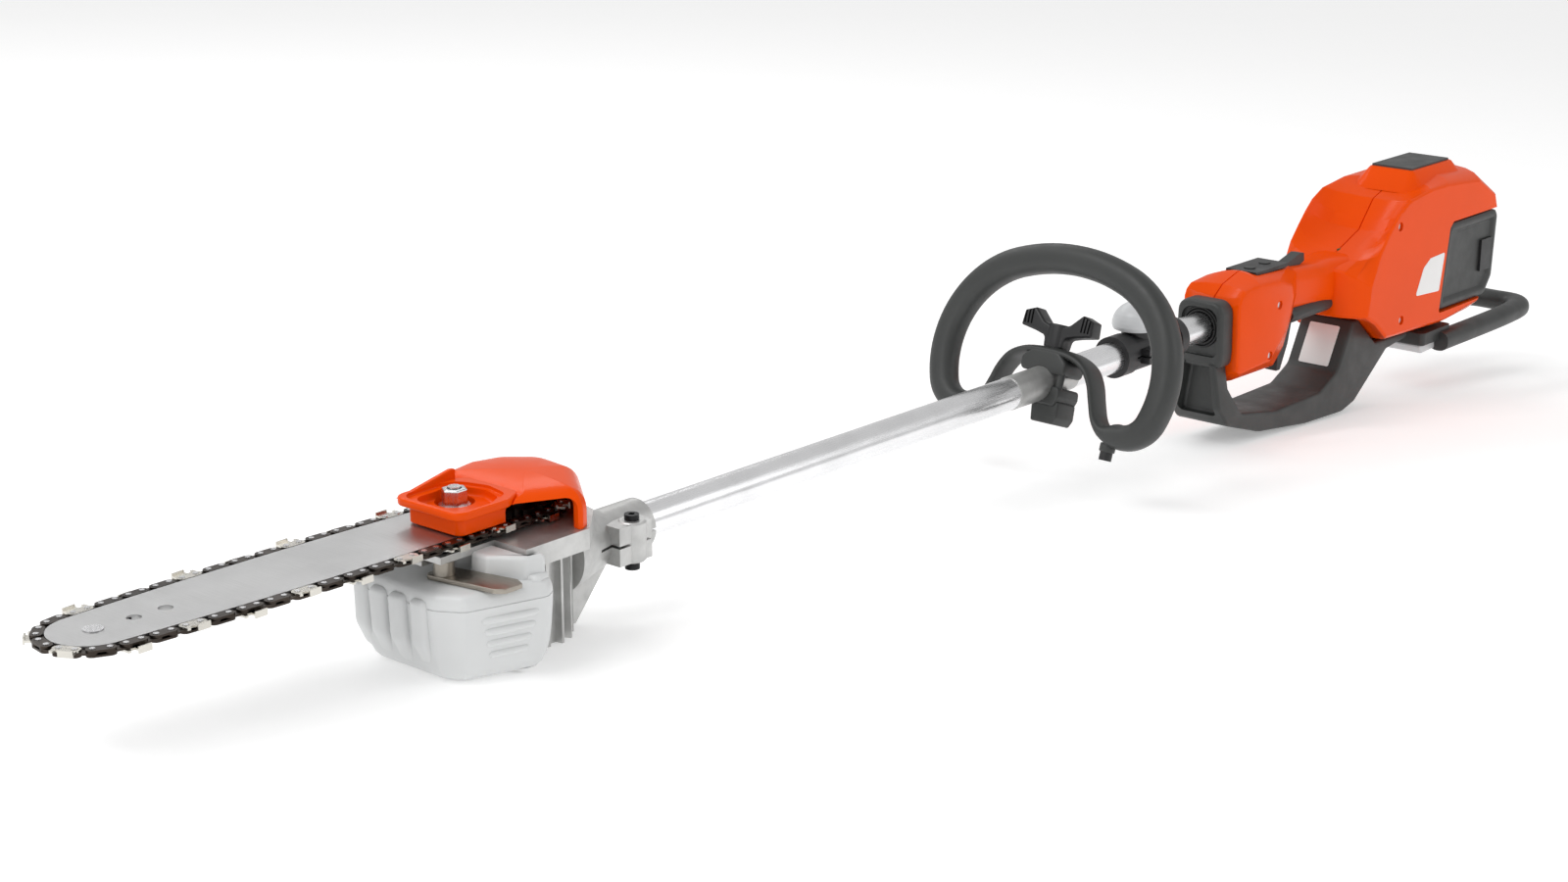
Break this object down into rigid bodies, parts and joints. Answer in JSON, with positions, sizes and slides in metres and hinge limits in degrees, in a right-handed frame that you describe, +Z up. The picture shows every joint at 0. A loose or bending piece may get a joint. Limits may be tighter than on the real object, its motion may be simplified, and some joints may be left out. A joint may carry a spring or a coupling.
{
  "type": "telescoping pole saw",
  "caption": "Battery pole saw: flat guide bar and chain on a motor head, telescoping pole with loop handle, trigger grip with guard, and a battery housing with a rear loop.",
  "frame": {"origin": "on the pole's axis, at the rear end of the saw head's tube clamp", "axes": "+X along the pole from the bar tip to the battery end, +Z up with the guide bar lying flat, +Y to the operator's left"},
  "size_m": [1.6814, 0.2298, 0.2152],
  "materials": {
    "alloy_cast": "satin cast",
    "alloy_polished": "polished drawn tube",
    "orange_shell": "gloss moulded",
    "grey_plastic": "fine matte texture",
    "black_plastic": "matte",
    "black_rubber": "soft",
    "white_tank": "blow moulded, satin",
    "bar_steel": "ground and lacquered",
    "chain_steel": "blued, oiled",
    "cutter_steel": "hard chromed",
    "bright_steel": "zinc plated",
    "hook_steel": "bare rolled",
    "black_steel": "black oxide",
    "motor_copper": "wound coils",
    "green_board": "solder mask",
    "knob_grey": "satin"
  },
  "bodies": {
    "rear": {"inner_tube": "alloy_polished", "slide_bush": "black_plastic", "pole_cable": "black_rubber", "tube_seal": "black_rubber", "hand_guard": "grey_plastic", "housing_left": "orange_shell", "housing_right": "orange_shell", "housing_screws": "black_steel", "keypad_panel": "black_plastic", "control_board": "green_board", "grip_insert": "black_rubber", "top_panel": "grey_plastic", "rear_loop": "grey_plastic"},
    "power_button": {"power_button": "grey_plastic"},
    "mode_button": {"mode_button": "grey_plastic"},
    "trigger_lock": {"trigger_lock": "grey_plastic"},
    "throttle_trigger": {"throttle_trigger": "black_plastic"},
    "battery": {"battery_pack": "grey_plastic"},
    "battery_latch_left": {"battery_latch_left": "black_plastic"},
    "battery_latch_right": {"battery_latch_right": "black_plastic"},
    "pole": {"outer_tube": "alloy_polished", "telescope_collar": "black_plastic"},
    "collar_knob": {"collar_knob": "knob_grey"},
    "handle": {"loop_handle": "grey_plastic", "handle_saddle": "grey_plastic", "handle_liner": "alloy_cast", "handle_stud": "black_plastic"},
    "handle_knob": {"handle_knob": "black_plastic"},
    "saw_head": {"motor_housing": "alloy_cast", "motor_cover": "alloy_cast", "motor_cover_screws": "bright_steel", "stator": "motor_copper", "rotor_bearings": "bright_steel", "oil_pump": "black_plastic", "bar_stud": "bright_steel", "chain_drive_links": "chain_steel", "chain_tie_straps": "chain_steel", "chain_cutters": "cutter_steel", "chain_rivets": "bright_steel", "sprocket_cover": "orange_shell", "oil_tank": "white_tank", "oil_pickup": "black_rubber", "branch_hook": "hook_steel", "hook_spacer": "hook_steel", "hook_screw": "black_steel", "clamp_screw": "black_steel", "clamp_nut": "black_steel", "cable_gland": "black_rubber"},
    "motor": {"rotor": "bright_steel", "pump_worm": "bright_steel", "drive_sprocket": "chain_steel", "sprocket_clip": "bright_steel"},
    "pump_gear": {"pump_gear": "bright_steel"},
    "bar": {"guide_bar": "bar_steel", "nose_rivets": "bright_steel", "tension_pin": "bright_steel"},
    "nose_sprocket": {"nose_sprocket": "bright_steel"},
    "tension_screw": {"tension_screw": "bright_steel"},
    "bar_nut": {"bar_nut": "bright_steel"},
    "oil_cap": {"oil_cap": "black_plastic"}
  },
  "joints": [
    {"name": "telescope", "type": "slide", "parent": "rear", "child": "pole", "axis": [-1, 0, 0], "range_m": [0, 0.42]},
    {"name": "collar_knob_turn", "type": "hinge", "parent": "pole", "child": "collar_knob", "pos_m": [0.586, 0, 0.018], "axis": [0, 0, 1], "range_deg": [0, 180]},
    {"name": "handle_slide", "type": "slide", "parent": "pole", "child": "handle", "axis": [-1, 0, 0], "range_m": [-0.02, 0.2]},
    {"name": "handle_knob_turn", "type": "hinge", "parent": "handle", "child": "handle_knob", "pos_m": [0.466, 0, 0], "axis": [0.342, 0, 0.9397], "range_deg": [0, 360]},
    {"name": "head_swivel", "type": "hinge", "parent": "pole", "child": "saw_head", "pos_m": [0, 0, 0], "axis": [1, 0, 0], "range_deg": [-90, 90]},
    {"name": "motor_spin", "type": "hinge", "parent": "saw_head", "child": "motor", "pos_m": [-0.103, 0.008, 0], "axis": [0, 0, 1], "continuous": true},
    {"name": "pump_spin", "type": "hinge", "parent": "saw_head", "child": "pump_gear", "pos_m": [-0.1165, 0.008, 0.028], "axis": [0, 1, 0], "continuous": true},
    {"name": "bar_tension", "type": "slide", "parent": "saw_head", "child": "bar", "axis": [0.9996, -0.0279, 0], "range_m": [0, 0.004]},
    {"name": "nose_spin", "type": "hinge", "parent": "bar", "child": "nose_sprocket", "pos_m": [-0.41288, 0.01666, 0.038], "axis": [0, 0, 1], "continuous": true},
    {"name": "tension_screw_turn", "type": "hinge", "parent": "saw_head", "child": "tension_screw", "pos_m": [-0.19338, -0.00448, 0.0306], "axis": [0.9996, -0.0279, 0], "range_deg": [0, 1800]},
    {"name": "bar_nut_turn", "type": "hinge", "parent": "saw_head", "child": "bar_nut", "pos_m": [-0.15098, 0.00934, 0.046], "axis": [0, 0, 1], "range_deg": [0, 720]},
    {"name": "oil_cap_turn", "type": "hinge", "parent": "saw_head", "child": "oil_cap", "pos_m": [-0.176, 0.045, -0.012], "axis": [0, 1, 0], "range_deg": [0, 90]},
    {"name": "throttle", "type": "hinge", "parent": "rear", "child": "throttle_trigger", "pos_m": [0.803, 0, -0.014], "axis": [0, -1, 0], "range_deg": [0, 12], "stiffness_Nm_per_rad": 0.6, "springref_deg": -8.59},
    {"name": "lock_lever", "type": "hinge", "parent": "rear", "child": "trigger_lock", "pos_m": [0.804, 0, 0.025], "axis": [0, 1, 0], "range_deg": [0, 10], "stiffness_Nm_per_rad": 0.3, "springref_deg": -8.59},
    {"name": "power_press", "type": "slide", "parent": "rear", "child": "power_button", "axis": [0, 0, -1], "range_m": [0, 0.0009], "stiffness_N_per_m": 800, "springref_m": -0.0008},
    {"name": "mode_press", "type": "slide", "parent": "rear", "child": "mode_button", "axis": [0, 0, -1], "range_m": [0, 0.0009], "stiffness_N_per_m": 800, "springref_m": -0.0008},
    {"name": "battery_slide", "type": "slide", "parent": "rear", "child": "battery", "axis": [1, 0, 0], "range_m": [0, 0.15]},
    {"name": "latch_left_press", "type": "slide", "parent": "battery", "child": "battery_latch_left", "axis": [0, 1, 0], "range_m": [0, 0.003], "stiffness_N_per_m": 600, "springref_m": -0.001},
    {"name": "latch_right_press", "type": "slide", "parent": "battery", "child": "battery_latch_right", "axis": [0, -1, 0], "range_m": [0, 0.003], "stiffness_N_per_m": 600, "springref_m": -0.001}
  ],
  "couplings": [
    {"joint": "pump_spin", "follows": "motor_spin", "ratio": -0.05},
    {"joint": "nose_spin", "follows": "motor_spin", "ratio": 1},
    {"joint": "tension_screw_turn", "follows": "bar_tension", "rad_per_m": 7854}
  ]
}
